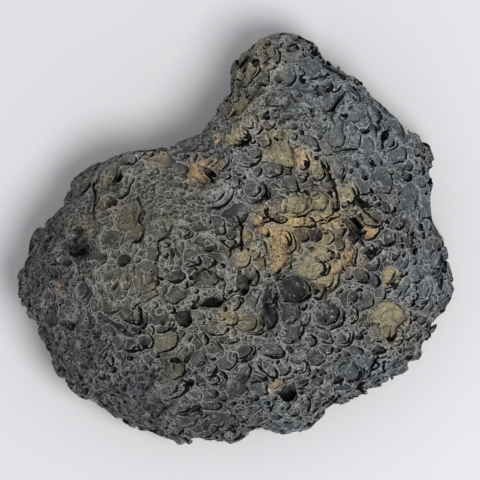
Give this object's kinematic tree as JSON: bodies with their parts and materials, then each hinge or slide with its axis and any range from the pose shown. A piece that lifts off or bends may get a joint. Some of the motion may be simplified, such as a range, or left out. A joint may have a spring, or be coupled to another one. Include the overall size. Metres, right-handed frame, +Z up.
{
  "type": "lava rock",
  "caption": "Palm-sized piece of dark grey vesicular lava: a low, rounded body with a blunt horn beside a notch, pitted all over with burst gas bubbles, that lies flat on its underside.",
  "frame": {"origin": "under the middle of the stone's bounding box, on the plane that it rests on", "axes": "+X along the stone's length, towards the side opposite the broad rounded end, +Y towards the horn, +Z up from the resting face"},
  "size_m": [0.15, 0.14, 0.056],
  "materials": {
    "lava": "dull and rough: charcoal grey bubble walls with paler worn rims, dusted olive-tan and stained orange-brown in patches"
  },
  "bodies": {
    "root": {"lava_rock": "lava"}
  },
  "joints": []
}
